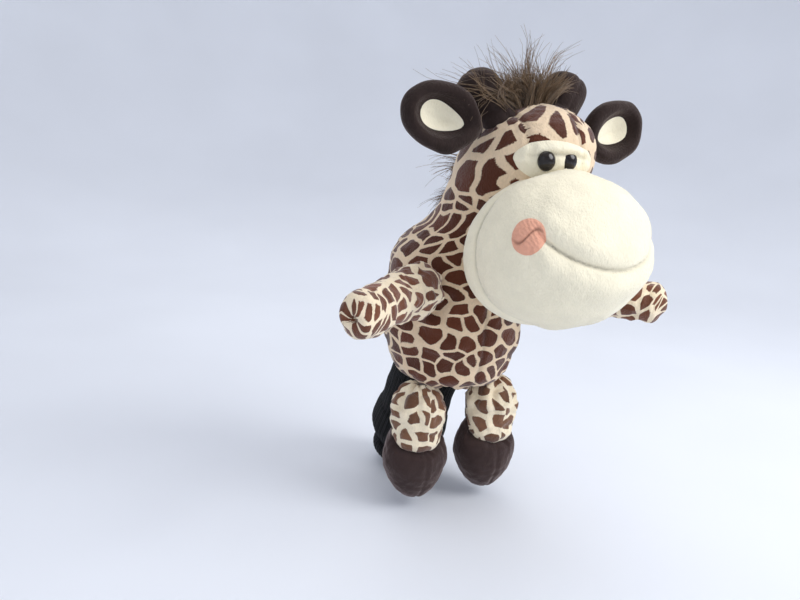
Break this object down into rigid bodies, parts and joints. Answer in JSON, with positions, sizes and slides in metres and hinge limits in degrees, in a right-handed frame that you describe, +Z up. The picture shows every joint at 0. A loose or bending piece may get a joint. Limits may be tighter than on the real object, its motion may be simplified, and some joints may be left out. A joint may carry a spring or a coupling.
{
  "type": "driver head cover",
  "caption": "Plush giraffe head cover for a golf driver: a padded body pocket with a knitted shaft sleeve, stuffed head, limbs and ears.",
  "frame": {"origin": "middle of the crown seat, the flat pad in the roof of the pocket that the driver crown pushes against", "axes": "+Z up as the cover sits on a club in a bag, +X to the giraffe's left, -Y the way it faces; the sleeve leans down and back, 21 degrees off -Z"},
  "size_m": [0.2847, 0.2741, 0.3985],
  "materials": {
    "spotted_plush": "short pile plush with brown patches on cream",
    "ivory_plush": "short pile ivory plush",
    "pink_plush": "short pile salmon plush",
    "dark_plush": "short pile dark brown plush",
    "hoof_plush": "short pile dark brown velour",
    "hair": "long olive brown pile",
    "black_knit": "black stretch knit",
    "elastic": "woven elastic band",
    "eye_gloss": "polished black",
    "washer_plastic": "moulded",
    "tape": "woven tape",
    "fibre": "polyester fibre"
  },
  "bodies": {
    "body": {"body_front_panel_left": "spotted_plush", "body_front_panel_right": "spotted_plush", "body_back_panel_left": "spotted_plush", "body_back_panel_right": "spotted_plush", "body_padding_front": "fibre", "body_padding_back": "fibre", "pocket_lining": "black_knit", "crown_seat_pad": "black_knit", "shaft_sleeve": "black_knit", "sleeve_hem": "black_knit", "mouth_elastic": "elastic"},
    "head": {"head_side_panel_left": "spotted_plush", "head_side_panel_right": "spotted_plush", "crown_gusset": "spotted_plush", "face_patch": "ivory_plush", "head_stuffing": "fibre", "muzzle_upper_panel": "ivory_plush", "muzzle_lower_panel": "ivory_plush", "muzzle_back_panel": "ivory_plush", "muzzle_stuffing": "fibre", "cheek_patch_left": "pink_plush", "cheek_patch_right": "pink_plush", "eye_left": "eye_gloss", "eye_right": "eye_gloss", "eye_washer_left": "washer_plastic", "eye_washer_right": "washer_plastic", "horn_left": "dark_plush", "horn_right": "dark_plush", "horn_stuffing_left": "fibre", "horn_stuffing_right": "fibre", "mane_tape": "tape", "mane": "hair", "forelock": "hair"},
    "ear_left": {"ear_left": "dark_plush", "ear_lining_left": "ivory_plush"},
    "arm_left": {"arm_left_skin": "spotted_plush", "arm_left_stuffing": "fibre"},
    "leg_left": {"leg_left_skin": "spotted_plush", "leg_left_stuffing": "fibre"},
    "hoof_left": {"hoof_skin_left": "hoof_plush", "hoof_stuffing_left": "fibre"},
    "ear_right": {"ear_right": "dark_plush", "ear_lining_right": "ivory_plush"},
    "arm_right": {"arm_right_skin": "spotted_plush", "arm_right_stuffing": "fibre"},
    "leg_right": {"leg_right_skin": "spotted_plush", "leg_right_stuffing": "fibre"},
    "hoof_right": {"hoof_skin_right": "hoof_plush", "hoof_stuffing_right": "fibre"}
  },
  "joints": [
    {"name": "neck_nod", "type": "hinge", "parent": "body", "child": "head", "pos_m": [0.018, -0.014, 0.056], "axis": [-1, 0, 0], "range_deg": [-5, 20], "stiffness_Nm_per_rad": 3},
    {"name": "ear_flap_left", "type": "hinge", "parent": "head", "child": "ear_left", "pos_m": [0.07483, -0.06161, 0.11105], "axis": [0.0583, -0.997, 0.0505], "range_deg": [-25, 25], "stiffness_Nm_per_rad": 0.25},
    {"name": "shoulder_left", "type": "hinge", "parent": "body", "child": "arm_left", "pos_m": [0.06036, -0.04574, -0.0123], "axis": [-0.6157, -0.788, 0], "range_deg": [-45, 10], "stiffness_Nm_per_rad": 0.8},
    {"name": "hip_left", "type": "hinge", "parent": "body", "child": "leg_left", "pos_m": [0.0375, -0.02, -0.12009], "axis": [-1, 0, 0], "range_deg": [-8, 65], "stiffness_Nm_per_rad": 0.8},
    {"name": "ankle_left", "type": "hinge", "parent": "leg_left", "child": "hoof_left", "pos_m": [0.0375, -0.02, -0.13609], "axis": [-1, 0, 0], "range_deg": [-18, 22], "stiffness_Nm_per_rad": 0.4},
    {"name": "ear_flap_right", "type": "hinge", "parent": "head", "child": "ear_right", "pos_m": [-0.03637, -0.05382, 0.10522], "axis": [0.2013, 0.9788, -0.0369], "range_deg": [-25, 25], "stiffness_Nm_per_rad": 0.25},
    {"name": "shoulder_right", "type": "hinge", "parent": "body", "child": "arm_right", "pos_m": [-0.05819, -0.04574, -0.0123], "axis": [-0.6157, 0.788, 0], "range_deg": [-45, 55], "stiffness_Nm_per_rad": 0.8},
    {"name": "hip_right", "type": "hinge", "parent": "body", "child": "leg_right", "pos_m": [-0.0375, -0.02, -0.12009], "axis": [-1, 0, 0], "range_deg": [-8, 65], "stiffness_Nm_per_rad": 0.8},
    {"name": "ankle_right", "type": "hinge", "parent": "leg_right", "child": "hoof_right", "pos_m": [-0.0375, -0.02, -0.13609], "axis": [-1, 0, 0], "range_deg": [-18, 22], "stiffness_Nm_per_rad": 0.4}
  ]
}
